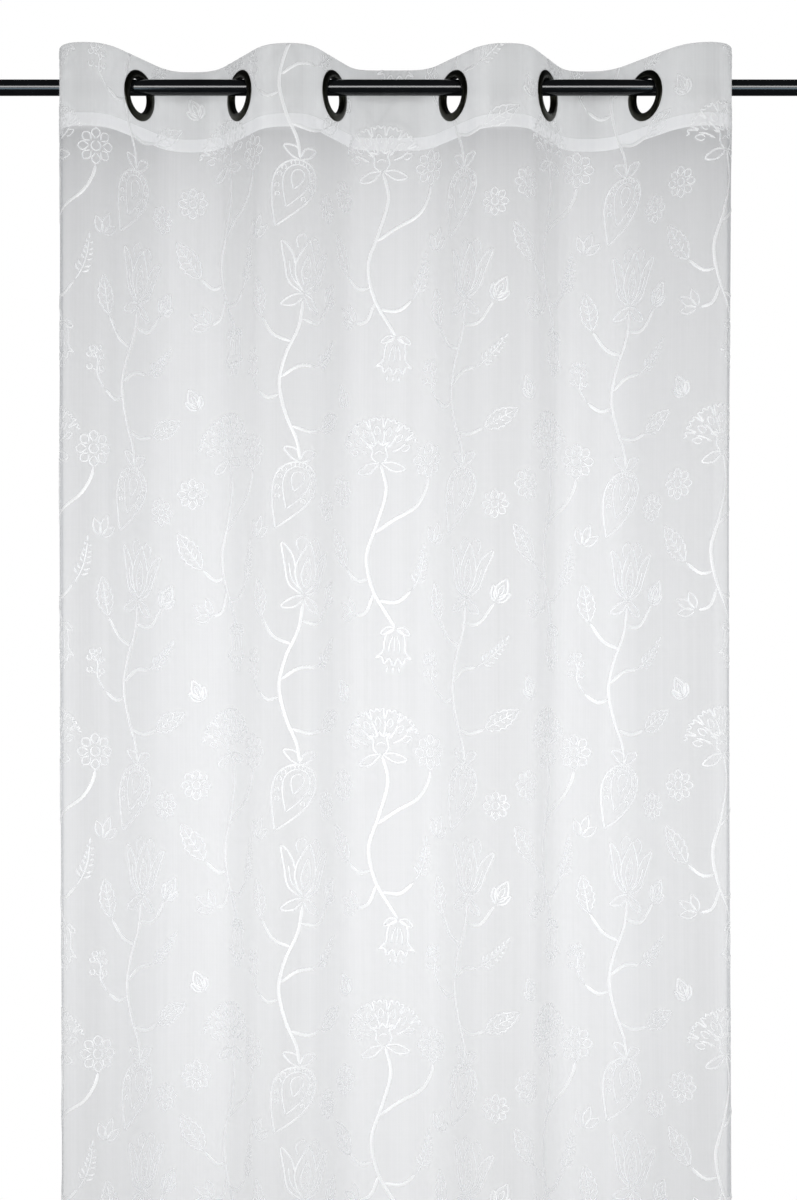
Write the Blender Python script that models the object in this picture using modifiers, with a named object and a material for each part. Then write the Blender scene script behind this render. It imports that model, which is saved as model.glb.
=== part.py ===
"""A sheer voile curtain on six metal eyelets, and the plain round rod that it hangs from.

Metres, +Z up. +X runs along the rod to the viewer's right, +Y away from the viewer, and the
origin is on the rod's axis. The cloth's face looks along -Y.

Seen from above, the cloth is one long wave that crosses the rod at every eyelet. The wave is
worked out from the cloth's angle to the rod at each distance along the cloth's width, so every
height of the curtain holds the same width of cloth. Beside an eyelet the cloth stays flat at
that eyelet's lean, and between two eyelets it turns through a fold whose crest runs along the
rod. Below the stiff heading the folds grow rounder and a little uneven, and still hang plumb.
"""

import math
from collections import namedtuple

import bmesh
import bpy
import numpy as np

# ------------------------------------------------------------------ driving dimensions

ROD_DIAMETER = 0.019
ROD_LENGTH = 1.100
ROD_EDGE = 0.0008
ROD_SIDES = 32

EYELET_HOLE_RADIUS = 0.0205
EYELET_OUTER_RADIUS = 0.0300
EYELET_WALL = 0.0012
EYELET_DOME = 0.0032
EYELET_CENTRE_BELOW_ROD = 0.0097
EYELET_SIDES = 28
DOME_STEPS = 5

CLOTH_TOP = 0.036
HEADING_DEPTH = 0.098
CURTAIN_DROP = 2.400
HEADING_THICKNESS = 0.0020
VOILE_THICKNESS = 0.0012
PIECE_GAP = 0.0003

LEFT_EDGE_X = -0.4000
RIGHT_EDGE_X = 0.3920
EDGE_Y = -0.0130
LEFT_EDGE_CURL = math.radians(95.0)
RIGHT_EDGE_CURL = math.radians(98.0)
FLAT_BESIDE_EYELET = 0.0310

# One row for each eyelet: its place along the rod, and how steeply the cloth crosses the rod.
Eyelet = namedtuple("Eyelet", "x lean_deg")
EYELETS = (
    Eyelet(x=-0.3112, lean_deg=60.0),
    Eyelet(x=-0.1891, lean_deg=58.0),
    Eyelet(x=-0.0778, lean_deg=63.0),
    Eyelet(x=0.0664, lean_deg=57.0),
    Eyelet(x=0.1771, lean_deg=64.0),
    Eyelet(x=0.2962, lean_deg=54.0),
)

# One row for each fold, left to right: the side its crest is on, and how full the crest is
# (1 turns sharply, 4 runs a long way beside the rod before it turns).
Crest = namedtuple("Crest", "side fullness")
CRESTS = (
    Crest(side="front", fullness=1.3),
    Crest(side="back", fullness=1.5),
    Crest(side="front", fullness=1.5),
    Crest(side="back", fullness=4.5),
    Crest(side="front", fullness=1.5),
    Crest(side="back", fullness=1.7),
    Crest(side="front", fullness=1.2),
)

# Below the heading.
RELAX_DEPTH = 0.45
FOLD_ROUNDING = 0.016
FOLD_UNEVENNESS = 0.05
UNEVEN_WAVE_WIDTH = 0.460
UNEVEN_WAVE_DROP = 1.900

# How finely the cloth is drawn.
COLUMNS_PER_TURN = 6
COLUMNS_PER_FLAT = 4
HEADING_ROWS = 2
PANEL_ROWS = 13
PANEL_ROW_CROWDING = 1.6
CURVE_STEP = 0.0008
FOLD_SCALES = (0.7, 1.4)
WIDTH_SEARCH_STEPS = 40
SHARP_EDGE = math.radians(60.0)

# ------------------------------------------------------------------ sizes that follow

HEADING_BOTTOM = CLOTH_TOP - HEADING_DEPTH
PANEL_TOP = HEADING_BOTTOM - PIECE_GAP
PANEL_BOTTOM = CLOTH_TOP - CURTAIN_DROP
EYELET_Z = -EYELET_CENTRE_BELOW_ROD
EYELET_FACE = HEADING_THICKNESS / 2 + PIECE_GAP
BARREL_RADIUS = EYELET_HOLE_RADIUS + EYELET_WALL
BARREL_END = EYELET_FACE + EYELET_DOME - PIECE_GAP
FACET_SHRINK = math.cos(math.pi / EYELET_SIDES)
AROUND_BARREL_RADIUS = (BARREL_RADIUS + PIECE_GAP) / FACET_SHRINK


# ------------------------------------------------------------------ the cloth's wave

Stretch = namedtuple("Stretch", "length angles columns")


def half_turn(angle, fullness, count=200):
    """Angles of the cloth from beside an eyelet, or its edge, to the crest of a fold.

    They fall from angle to 0 as angle * cos(t * 90 degrees) ** fullness, t going from 0 to 1.
    """
    t = np.linspace(0.0, 1.0, count)
    return angle * np.cos(t * math.pi / 2).clip(0.0) ** fullness


def mean_of(values):
    """Mean of evenly spaced values, the two end ones counting half."""
    return (values.sum() - (values[0] + values[-1]) / 2) / (len(values) - 1)


def fold(start_angle, end_angle, fullness, along, across):
    """The two stretches of a fold that carry the cloth by along (X) and across (Y).

    Each half has a fixed shape, so their two lengths come from two linear equations.
    """
    first = half_turn(start_angle, fullness)
    second = half_turn(end_angle, fullness)[::-1]
    directions = np.array(
        [
            [mean_of(np.cos(first)), mean_of(np.cos(second))],
            [mean_of(np.sin(first)), mean_of(np.sin(second))],
        ]
    )
    lengths = np.linalg.solve(directions, [along, across])
    return [
        Stretch(lengths[0], first, COLUMNS_PER_TURN),
        Stretch(lengths[1], second, COLUMNS_PER_TURN),
    ]


def eyelet_angle(index):
    """The cloth's signed angle at an eyelet: positive where it goes from the front to the back."""
    sign = 1.0 if CRESTS[index + 1].side == "back" else -1.0
    return sign * math.radians(EYELETS[index].lean_deg)


def heading_stretches():
    """Every stretch of the heading's wave, from the left edge of the cloth to the right one."""
    stretches = []
    x, y, angle = LEFT_EDGE_X, EDGE_Y, -LEFT_EDGE_CURL
    for index, eyelet in enumerate(EYELETS):
        lean = eyelet_angle(index)
        reach_x = FLAT_BESIDE_EYELET * math.cos(lean)
        reach_y = FLAT_BESIDE_EYELET * math.sin(lean)
        along = eyelet.x - reach_x - x
        across = -reach_y - y
        stretches += fold(angle, lean, CRESTS[index].fullness, along, across)
        stretches.append(
            Stretch(2 * FLAT_BESIDE_EYELET, np.array([lean, lean]), COLUMNS_PER_FLAT)
        )
        x, y, angle = eyelet.x + reach_x, reach_y, lean
    stretches += fold(
        angle, RIGHT_EDGE_CURL, CRESTS[-1].fullness, RIGHT_EDGE_X - x, EDGE_Y - y
    )
    return stretches


def running_sum(values, step):
    """Running integral of evenly spaced values, by trapezoids, starting at 0."""
    return np.concatenate([[0.0], np.cumsum((values[1:] + values[:-1]) / 2) * step])


def rounded(angles, step):
    """The angles blurred along the cloth with a bell curve, as free folds round themselves."""
    reach = int(3 * FOLD_ROUNDING / step)
    offsets = np.arange(-reach, reach + 1) * step
    bell = np.exp(-0.5 * (offsets / FOLD_ROUNDING) ** 2)
    padded = np.pad(angles, reach, mode="edge")
    return np.convolve(padded, bell / bell.sum(), mode="valid")


def eased(share):
    """0 to 1 with level ends: 3 s^2 - 2 s^3."""
    share = np.clip(share, 0.0, 1.0)
    return share * share * (3.0 - 2.0 * share)


class Cloth:
    """The middle surface of the curtain: a point for each distance along it and each height."""

    def __init__(self):
        stretches = heading_stretches()
        self.ends = np.concatenate([[0.0], np.cumsum([s.length for s in stretches])])
        self.width = self.ends[-1]
        count = int(self.width / CURVE_STEP) + 1
        self.along = np.linspace(0.0, self.width, count)
        self.step = self.along[1]
        self.columns = np.concatenate(
            [
                np.linspace(start, end, stretch.columns, endpoint=False)
                for start, end, stretch in zip(self.ends, self.ends[1:], stretches)
            ]
            + [[self.width]]
        )
        places = np.concatenate(
            [
                np.linspace(start, end, len(stretch.angles))
                for start, end, stretch in zip(self.ends, self.ends[1:], stretches)
            ]
        )
        joined = np.concatenate([stretch.angles for stretch in stretches])
        self.heading = np.interp(self.along, places, joined)
        self.relaxed = rounded(self.heading, self.step)
        self.hung_width = RIGHT_EDGE_X - LEFT_EDGE_X
        wave_y = EDGE_Y + running_sum(np.sin(self.heading), self.step)
        self.mean_y = mean_of(wave_y)

    def angles(self, height):
        """Angles of the cloth at a height, before they are scaled to the hung width.

        They pass from the heading's to the rounded ones over RELAX_DEPTH, and a slow wave
        that runs across and down the cloth makes some folds deeper and others shallower.
        """
        below = max(0.0, HEADING_BOTTOM - height)
        loose = float(eased(below / RELAX_DEPTH))
        phase = self.along / UNEVEN_WAVE_WIDTH + below / UNEVEN_WAVE_DROP
        uneven = 1.0 + FOLD_UNEVENNESS * loose * np.sin(2 * math.pi * phase)
        return (self.heading * (1.0 - loose) + self.relaxed * loose) * uneven

    def level(self, height):
        """X and Y of the wave at a height, as two arrays along the cloth.

        The angles are scaled until the wave spans the hung width, and turned until both
        edges are equally far forward, so the two side edges hang in straight lines.
        """
        angles = self.angles(height)
        (low, high), turn = FOLD_SCALES, 0.0
        for _ in range(WIDTH_SEARCH_STEPS):
            scale = (low + high) / 2
            across = running_sum(np.sin(scale * angles + turn), self.step)[-1]
            along = running_sum(np.cos(scale * angles + turn), self.step)[-1]
            turn -= across / along
            low, high = (scale, high) if along > self.hung_width else (low, scale)
        x = LEFT_EDGE_X + running_sum(np.cos(scale * angles + turn), self.step)
        y = running_sum(np.sin(scale * angles + turn), self.step)
        return x, y + self.mean_y - mean_of(y)

    def row(self, height):
        """X and Y at each column of the cloth's grid, for one height."""
        wave = self.level(height)
        return [np.interp(self.columns, self.along, values) for values in wave]


# ------------------------------------------------------------------ making objects


def clear_scene():
    for item in list(bpy.data.objects):
        bpy.data.objects.remove(item, do_unlink=True)


def new_collection(name):
    group = bpy.data.collections.new(name)
    bpy.context.scene.collection.children.link(group)
    return group


def new_material(name, colour, roughness, metallic=0.0, alpha=1.0):
    material = bpy.data.materials.new(name)
    material.use_nodes = True
    shader = material.node_tree.nodes["Principled BSDF"]
    shader.inputs["Base Color"].default_value = (*colour, 1.0)
    shader.inputs["Roughness"].default_value = roughness
    shader.inputs["Metallic"].default_value = metallic
    shader.inputs["Alpha"].default_value = alpha
    return material


def new_object(name, mesh, group, material=None):
    item = bpy.data.objects.new(name, mesh)
    group.objects.link(item)
    if material:
        item.data.materials.append(material)
    return item


def cloth_sheet(name, cloth, heights, thickness, group, material):
    """A grid whose columns follow the cloth's wave at each height, thickened both ways."""
    rows, columns = len(heights), len(cloth.columns)
    shape = bmesh.new()
    bmesh.ops.create_grid(shape, x_segments=columns - 1, y_segments=rows - 1, size=0.5)
    levels = [cloth.row(height) for height in heights]
    for vertex in shape.verts:
        column = round((vertex.co.x + 0.5) * (columns - 1))
        row = round((0.5 - vertex.co.y) * (rows - 1))
        x, y = levels[row]
        vertex.co = (x[column], y[column], heights[row])
    mesh = bpy.data.meshes.new(name)
    shape.to_mesh(mesh)
    shape.free()
    mesh.shade_smooth()
    sheet = new_object(name, mesh, group, material)
    wall = sheet.modifiers.new("thickness", "SOLIDIFY")
    wall.thickness = thickness
    wall.offset = 0.0
    wall.use_even_offset = True
    return sheet


def turned_mesh(name, outline):
    """A closed outline of (radius, height) points as edges, ready for a Screw modifier."""
    count = len(outline)
    mesh = bpy.data.meshes.new(name)
    mesh.from_pydata(
        [(radius, 0.0, height) for radius, height in outline],
        [(i, (i + 1) % count) for i in range(count)],
        [],
    )
    return mesh


def turn_profile(item):
    """A Screw modifier that turns the outline all the way round its own Z axis."""
    screw = item.modifiers.new("turned", "SCREW")
    screw.steps = EYELET_SIDES
    screw.render_steps = EYELET_SIDES
    screw.use_merge_vertices = True
    screw.merge_threshold = 0.00001
    screw.use_smooth_shade = True


def dome(inner, outer, face, rise):
    """Half an ellipse over the ring between two radii, from the inner radius to the outer."""
    middle, half = (inner + outer) / 2, (outer - inner) / 2
    turn = np.linspace(math.pi, 0.0, DOME_STEPS + 1)
    return [
        (middle + half * float(np.cos(t)), face + rise * float(np.sin(t))) for t in turn
    ]


def eyelet_front_outline():
    """The eyelet's face: a domed flange and the short barrel that goes through the cloth."""
    return dome(EYELET_HOLE_RADIUS, EYELET_OUTER_RADIUS, EYELET_FACE, EYELET_DOME) + [
        (BARREL_RADIUS, EYELET_FACE),
        (BARREL_RADIUS, -BARREL_END),
        (EYELET_HOLE_RADIUS, -BARREL_END),
    ]


def eyelet_back_outline():
    """The domed washer behind the cloth, that the barrel is closed over."""
    outline = dome(AROUND_BARREL_RADIUS, EYELET_OUTER_RADIUS, -EYELET_FACE, -EYELET_DOME)
    return outline[::-1]


def place_on_cloth(item, index):
    """Stands a turned piece upright at an eyelet, its +Z along the cloth's face."""
    item.location = (EYELETS[index].x, 0.0, EYELET_Z)
    item.rotation_euler = (math.pi / 2, 0.0, eyelet_angle(index))


# ------------------------------------------------------------------ the pieces


def make_rod(group, material):
    shape = bmesh.new()
    bmesh.ops.create_cone(
        shape,
        cap_ends=True,
        segments=ROD_SIDES,
        radius1=ROD_DIAMETER / 2,
        radius2=ROD_DIAMETER / 2,
        depth=ROD_LENGTH,
    )
    mesh = bpy.data.meshes.new("rod")
    shape.to_mesh(mesh)
    shape.free()
    rod = new_object("rod", mesh, group, material)
    rod.rotation_euler = (0.0, math.pi / 2, 0.0)
    mesh.shade_smooth()
    mesh.set_sharp_from_angle(angle=SHARP_EDGE)
    edge = rod.modifiers.new("eased_ends", "BEVEL")
    edge.width = ROD_EDGE
    edge.segments = 2
    edge.limit_method = "ANGLE"
    edge.angle_limit = SHARP_EDGE


def make_hole_cutter(index, group):
    shape = bmesh.new()
    bmesh.ops.create_cone(
        shape,
        cap_ends=True,
        segments=EYELET_SIDES,
        radius1=AROUND_BARREL_RADIUS,
        radius2=AROUND_BARREL_RADIUS,
        depth=6 * HEADING_THICKNESS,
    )
    mesh = bpy.data.meshes.new(f"hole_cutter_{index + 1}")
    shape.to_mesh(mesh)
    shape.free()
    cutter = new_object(mesh.name, mesh, group)
    cutter.hide_render = True
    cutter.display_type = "WIRE"
    place_on_cloth(cutter, index)
    return cutter


def make_heading(cloth, group, cutters, material):
    """The stiff turned-down band that holds the eyelets, with a round hole for each."""
    heights = np.linspace(CLOTH_TOP, HEADING_BOTTOM, HEADING_ROWS + 1)
    heading = cloth_sheet("heading", cloth, heights, HEADING_THICKNESS, group, material)
    for index in range(len(EYELETS)):
        cut = heading.modifiers.new(f"hole_{index + 1}", "BOOLEAN")
        cut.operation = "DIFFERENCE"
        cut.solver = "EXACT"
        cut.object = make_hole_cutter(index, cutters)


def make_panel(cloth, group, material):
    """The hanging voile, its rows crowded towards the heading, where the folds change."""
    share = np.linspace(0.0, 1.0, PANEL_ROWS + 1) ** PANEL_ROW_CROWDING
    heights = PANEL_TOP + (PANEL_BOTTOM - PANEL_TOP) * share
    cloth_sheet("voile_panel", cloth, heights, VOILE_THICKNESS, group, material)


def make_eyelets(group, material):
    """Two turned pieces for each eyelet: the face with its barrel, and the washer behind."""
    outlines = {
        "front": turned_mesh("eyelet_front", eyelet_front_outline()),
        "back": turned_mesh("eyelet_back", eyelet_back_outline()),
    }
    for mesh in outlines.values():
        mesh.materials.append(material)
    for index in range(len(EYELETS)):
        for side, mesh in outlines.items():
            piece = new_object(f"eyelet_{index + 1}_{side}", mesh, group)
            turn_profile(piece)
            place_on_cloth(piece, index)


def main():
    clear_scene()
    curtain = new_collection("voile_curtain_on_rod")
    cutters = new_collection("cutters")
    voile = new_material("polyester_voile", (0.86, 0.87, 0.88), 0.75, alpha=0.6)
    band = new_material("stiffened_voile", (0.84, 0.85, 0.86), 0.8, alpha=0.85)
    black_metal = new_material("black_enamelled_metal", (0.012, 0.012, 0.013), 0.25, 1.0)
    black_gloss = new_material("black_gloss_steel", (0.008, 0.009, 0.01), 0.15, 1.0)
    cloth = Cloth()
    make_rod(curtain, black_gloss)
    make_heading(cloth, curtain, cutters, band)
    make_panel(cloth, curtain, voile)
    make_eyelets(curtain, black_metal)
    print(f"cloth {cloth.width:.3f} m wide, {CURTAIN_DROP:.2f} m drop")


main()
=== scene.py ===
# %% [markdown]
# # Dressing a sheer voile curtain
#
# The solids of this curtain already have its size, its folds, its six eyelets and its rod.
# This notebook loads them as a fixed frame and gives them their finish: a thin woven sheet on
# the same folds, its turned heading, hems and stitches, white embroidery, black metal eyelets
# and a gloss black rod. Metres throughout, +Z up, the cloth's face looking along -Y.

# %% Load the solids
import math
from collections import namedtuple
from functools import lru_cache

import bpy
import numpy as np
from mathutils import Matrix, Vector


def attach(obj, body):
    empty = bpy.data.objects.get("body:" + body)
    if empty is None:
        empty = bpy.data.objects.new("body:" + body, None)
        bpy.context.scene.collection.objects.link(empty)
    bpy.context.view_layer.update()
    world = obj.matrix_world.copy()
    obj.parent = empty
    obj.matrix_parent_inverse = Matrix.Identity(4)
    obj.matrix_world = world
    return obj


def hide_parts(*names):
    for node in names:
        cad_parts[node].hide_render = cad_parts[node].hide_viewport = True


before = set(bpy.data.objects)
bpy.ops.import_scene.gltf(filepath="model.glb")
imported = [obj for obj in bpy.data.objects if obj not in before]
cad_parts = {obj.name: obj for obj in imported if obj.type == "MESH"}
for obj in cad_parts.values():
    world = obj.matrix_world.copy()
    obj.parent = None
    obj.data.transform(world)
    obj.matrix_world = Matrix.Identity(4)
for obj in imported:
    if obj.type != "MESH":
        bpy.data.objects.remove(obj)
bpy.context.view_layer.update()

MM = 0.001
print("solids:", ", ".join(sorted(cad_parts)))

# %% [markdown]
# ## Helpers for every finish
#
# Paint charts and photographs give colours in sRGB, and a shader wants linear light, so one
# function turns a hex value into linear numbers. A second one adds a node together with its
# own settings and whatever goes into its sockets, which keeps each material short to read. A
# third one starts an empty material.

# %% Colour and node helpers


def linear(hex_colour):
    """An sRGB hex colour as linear RGBA: c / 12.92 below 0.04045, else ((c + 0.055) / 1.055)^2.4."""
    srgb = np.array([int(hex_colour[i : i + 2], 16) for i in (1, 3, 5)]) / 255
    light = np.where(srgb <= 0.04045, srgb / 12.92, ((srgb + 0.055) / 1.055) ** 2.4)
    return (*light.tolist(), 1.0)


def add_node(tree, kind, sockets=None, **settings):
    """One shader node: settings are its own properties, sockets are values, outputs or nodes.

    A node that is given for a socket stands for its first output.
    """
    node = tree.nodes.new("ShaderNode" + kind)
    for name, value in settings.items():
        setattr(node, name, value)
    for name, value in (sockets or {}).items():
        value = value.outputs[0] if isinstance(value, bpy.types.Node) else value
        if isinstance(value, bpy.types.NodeSocket):
            tree.links.new(value, node.inputs[name])
        else:
            node.inputs[name].default_value = value
    return node


def new_finish(name):
    """An empty material, and the tree that its nodes go into."""
    material = bpy.data.materials.new(name)
    material.use_nodes = True
    material.node_tree.nodes.clear()
    return material, material.node_tree


print("white in linear light:", linear("#FFFFFF"))

# %% [markdown]
# ## The camera
#
# The photograph keeps the curtain's two edges upright and parallel although the camera stands
# well below the rod, so it was taken with a level camera and a shifted lens. A level camera
# with a vertical shift gives the same picture. Its place comes from the rod's thickness in
# pixels and from how far the top edge of the cloth dips between its folds.

# %% Make the camera
PHOTO_HEIGHT, FOCAL_PIXELS, LEVEL_ROW = 1200, 2256.0, 780.4
SENSOR = 36.0
CAMERA_BACK, CAMERA_HEIGHT = 2.700, -0.829

camera = bpy.data.objects.new("camera", bpy.data.cameras.new("camera"))
camera.data.sensor_width = SENSOR
camera.data.lens = FOCAL_PIXELS / PHOTO_HEIGHT * SENSOR
camera.data.shift_y = (LEVEL_ROW - PHOTO_HEIGHT / 2) / PHOTO_HEIGHT
camera.location = (0.0, -CAMERA_BACK, CAMERA_HEIGHT)
camera.rotation_euler = (math.pi / 2, 0.0, 0.0)
bpy.context.collection.objects.link(camera)
bpy.context.scene.camera = camera
print(f"lens {camera.data.lens:.1f} mm, shift {camera.data.shift_y:.2f}")

# %% [markdown]
# ## A white studio
#
# The curtain hangs in front of plain white. The world is pure white where the camera looks at
# it, a soft grey as a light, and dark where the gloss black metal mirrors it, so the white
# behind doesn't flood the cloth or the rod. A soft box with a grid stands in front of the
# curtain at half height, so the folds are brightest there and fade towards the heading. Two
# pairs at the sides fill the slopes of the folds without a shadow, and one of the pairs leaves
# the embroidery out: its white thread then stands out on the crests and sinks into the cloth
# on the slopes. A box a little below the rod's height throws the rod's narrow shadow on the
# cloth behind it. Three more light the rod alone: a long strip draws its bright line, and a
# pair further out gives its free ends their broader shine. One stands behind the curtain for
# its back, and a very wide one lights nothing but the floor, evenly.

# %% World
scene = bpy.context.scene
scene.view_settings.view_transform = "Standard"
scene.cycles.transparent_max_bounces = 64
scene.cycles.use_denoising = True

world = bpy.data.worlds.new("white_studio")
world.use_nodes = True
world.node_tree.nodes.clear()
rays = add_node(world.node_tree, "LightPath")
fill, mirrored, seen = (
    add_node(world.node_tree, "Background", {"Color": linear(tone), "Strength": glow})
    for tone, glow in (("#F2F3F5", 0.340), ("#F2F3F5", 0.04), ("#FFFFFF", 1.0))
)
for kind, tone in (("Is Glossy Ray", mirrored), ("Is Camera Ray", seen)):
    fill = add_node(world.node_tree, "MixShader", {0: rays.outputs[kind], 1: fill, 2: tone})
add_node(world.node_tree, "OutputWorld", {"Surface": fill})
scene.world = world

# %% Soft boxes
SoftBox = namedtuple(
    "SoftBox", "name lights place aim size glow spread tone shadow", defaults=(180, "#FFFFFF", True)
)
LEFT, RIGHT = (-2.20, -0.50, -0.90), (2.20, -0.50, -0.90)
SIDE = (0, 0, -0.80), (0.8, 1.3)
ROD_END = {"size": (0.65, 0.7), "glow": 5.0, "tone": "#C4DCEC"}
SOFT_BOXES = (
    SoftBox("front_box", "cloth and eyelets", (0, -2.1, -0.86), (0, 0, -0.86), (1.2, 1.3), 1.79, 90),
    SoftBox("left_box", "plain cloth", LEFT, *SIDE, 0.70, 70, shadow=False),
    SoftBox("right_box", "plain cloth", RIGHT, *SIDE, 0.70, 70, shadow=False),
    SoftBox("left_wash", "cloth", LEFT, *SIDE, 0.61, 70, shadow=False),
    SoftBox("right_wash", "cloth", RIGHT, *SIDE, 0.61, 70, shadow=False),
    SoftBox("upper_box", "cloth", (0, -1.60, -0.24), (0, 0, -0.02), (1.6, 0.45), 2.50),
    SoftBox("rod_strip", "rod", (0, -2.00, -0.03), (0, 0, 0), (3.0, 0.7), 10.0),
    SoftBox("left_end", "rod", (-1.05, -1.70, -0.85), (-0.5, 0, 0), **ROD_END),
    SoftBox("right_end", "rod", (1.05, -1.70, -0.85), (0.5, 0, 0), **ROD_END),
    SoftBox("back_box", "cloth", (0, 2.40, -0.90), (0, 0, -0.90), (2.0, 2.2), 3.0),
    SoftBox("floor_box", "floor", (0, 0, 3.0), (0, 0, -2.4), (14.0, 14.0), 0.9),
)


def add_soft_box(box):
    """A rectangular light that faces its aim and isn't seen itself.

    Its power is its glow, the brightness of its face, times its area times pi.
    """
    light = bpy.data.lights.new(box.name, "AREA")
    light.shape = "RECTANGLE"
    light.size, light.size_y = box.size
    light.energy = box.glow * box.size[0] * box.size[1] * math.pi
    light.spread = math.radians(box.spread)
    light.color = linear(box.tone)[:3]
    light.use_shadow = box.shadow
    item = bpy.data.objects.new(box.name, light)
    away = Vector(box.place) - Vector(box.aim)
    item.location = box.place
    item.rotation_euler = away.to_track_quat("Z", "Y").to_euler()
    item.visible_camera = False
    bpy.context.collection.objects.link(item)
    return item


soft_boxes = [add_soft_box(box) for box in SOFT_BOXES]
print(len(SOFT_BOXES), "soft boxes")

# %% [markdown]
# ## Meshes from arrays
#
# Every new piece here is a surface worked out as whole arrays of points, so one function turns
# points and faces into a piece: it can carry a flat UV map in metres, which lets a weave follow
# the cloth through its folds, and several materials. A second one gives the faces of a grid.

# %% Mesh helpers


def add_piece(name, points, faces, materials, uv=None, material_index=None):
    """A piece from an array of points and an array of faces that all have as many corners."""
    mesh = bpy.data.meshes.new(name)
    corners = faces.shape[1]
    mesh.vertices.add(points.size // 3)
    mesh.vertices.foreach_set("co", np.ascontiguousarray(points, dtype=np.float32).ravel())
    mesh.loops.add(faces.size)
    mesh.loops.foreach_set("vertex_index", np.ascontiguousarray(faces, dtype=np.int32).ravel())
    mesh.polygons.add(len(faces))
    mesh.polygons.foreach_set("loop_start", np.arange(len(faces), dtype=np.int32) * corners)
    if uv is not None:
        layer = mesh.uv_layers.new(name="flat_cloth")
        layer.data.foreach_set("uv", uv[faces.ravel()].astype(np.float32).ravel())
    for material in materials:
        mesh.materials.append(material)
    if material_index is not None:
        mesh.polygons.foreach_set("material_index", material_index.astype(np.int32))
    mesh.update(calc_edges=True)
    mesh.validate()
    mesh.shade_smooth()
    piece = bpy.data.objects.new(name, mesh)
    bpy.context.collection.objects.link(piece)
    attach(piece, "root")
    print(f"{name}: {len(faces) * (corners - 2)} triangles")
    return piece


def grid_faces(rows, columns, wrap=False):
    """Quads of a grid of points, row by row; wrap joins the last column to the first."""
    across = np.arange(columns if wrap else columns - 1)
    row, column = np.meshgrid(np.arange(rows - 1), across, indexing="ij")
    here, right = row * columns + column, row * columns + (column + 1) % columns
    return np.stack([here, here + columns, right + columns, right], axis=-1).reshape(-1, 4)


print("grid of 3 by 3 points:", len(grid_faces(3, 3)), "quads")

# %% [markdown]
# ## The wave that the cloth hangs in
#
# A real eyelet curtain snakes from one side of the rod to the other through every eyelet, and
# it doesn't stretch. The wave is worked out from the cloth's angle to the rod at each distance
# along its width, and integrated, so every height holds the same width of cloth. The numbers
# here are the ones that the solids were made with, so the thin sheet lies on the same folds.

# %% Sizes of the curtain
ROD_RADIUS, ROD_LENGTH, ROD_EDGE = 9.5 * MM, 1.100, 0.8 * MM
EYELET_HOLE, EYELET_OUTER, EYELET_WALL, EYELET_DOME = 20.5 * MM, 30.0 * MM, 1.2 * MM, 2.8 * MM
EYELET_Z = -9.7 * MM
CLOTH_TOP, HEADING_DEPTH, CURTAIN_DROP = 36.0 * MM, 98.0 * MM, 2.400
HEADING_BOTTOM = CLOTH_TOP - HEADING_DEPTH
PANEL_BOTTOM = CLOTH_TOP - CURTAIN_DROP
HALF_HEADING, GAP = 1.0 * MM, 0.3 * MM
LEFT_EDGE_X, RIGHT_EDGE_X, EDGE_Y = -0.4000, 0.3920, -0.0130
LEFT_EDGE_CURL, RIGHT_EDGE_CURL = math.radians(95.0), math.radians(98.0)
FLAT_BESIDE_EYELET = 31.0 * MM
RELAX_DEPTH, FOLD_ROUNDING, FOLD_UNEVENNESS = 0.45, 0.016, 0.05
UNEVEN_WAVE_WIDTH, UNEVEN_WAVE_DROP = 0.460, 1.900
CURVE_STEP, FOLD_SCALES, WIDTH_SEARCH_STEPS = 0.8 * MM, (0.7, 1.4), 40

Eyelet = namedtuple("Eyelet", "x lean_deg")
EYELETS = [
    Eyelet(*row)
    for row in (
        (-0.3112, 60.0),
        (-0.1891, 58.0),
        (-0.0778, 63.0),
        (0.0664, 57.0),
        (0.1771, 64.0),
        (0.2962, 54.0),
    )
]
# The folds' crests from left to right: front ones and back ones in turn.
CREST_FULLNESS = (1.3, 1.5, 1.5, 4.5, 1.5, 1.7, 1.2)

# %% The wave's formulas
Stretch = namedtuple("Stretch", "length angles")


def half_turn(angle, fullness, count=200):
    """Angles from an eyelet or edge to a crest: angle * cos(t * 90 degrees) ** fullness."""
    t = np.linspace(0.0, 1.0, count)
    return angle * np.cos(t * math.pi / 2).clip(0.0) ** fullness


def mean_of(values):
    """Mean of evenly spaced values, the two end ones counting half."""
    return (values.sum() - (values[0] + values[-1]) / 2) / (len(values) - 1)


def fold(start_angle, end_angle, fullness, along, across):
    """The two halves of a fold; their lengths solve two linear equations for where it ends."""
    first = half_turn(start_angle, fullness)
    second = half_turn(end_angle, fullness)[::-1]
    directions = [[mean_of(turn(half)) for half in (first, second)] for turn in (np.cos, np.sin)]
    lengths = np.linalg.solve(directions, [along, across])
    return [Stretch(lengths[0], first), Stretch(lengths[1], second)]


def eyelet_angle(index):
    """The cloth's angle to the rod at an eyelet, positive from the front side to the back."""
    return (-1.0) ** index * math.radians(EYELETS[index].lean_deg)


def heading_stretches():
    """Every stretch of the wave from the cloth's left edge to its right one."""
    found = []
    x, y, angle = LEFT_EDGE_X, EDGE_Y, -LEFT_EDGE_CURL
    for index, eyelet in enumerate(EYELETS):
        lean = eyelet_angle(index)
        reach_x, reach_y = (FLAT_BESIDE_EYELET * way(lean) for way in (math.cos, math.sin))
        found += fold(angle, lean, CREST_FULLNESS[index], eyelet.x - reach_x - x, -reach_y - y)
        found.append(Stretch(2 * FLAT_BESIDE_EYELET, np.array([lean, lean])))
        x, y, angle = eyelet.x + reach_x, reach_y, lean
    return found + fold(angle, RIGHT_EDGE_CURL, CREST_FULLNESS[-1], RIGHT_EDGE_X - x, EDGE_Y - y)


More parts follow.
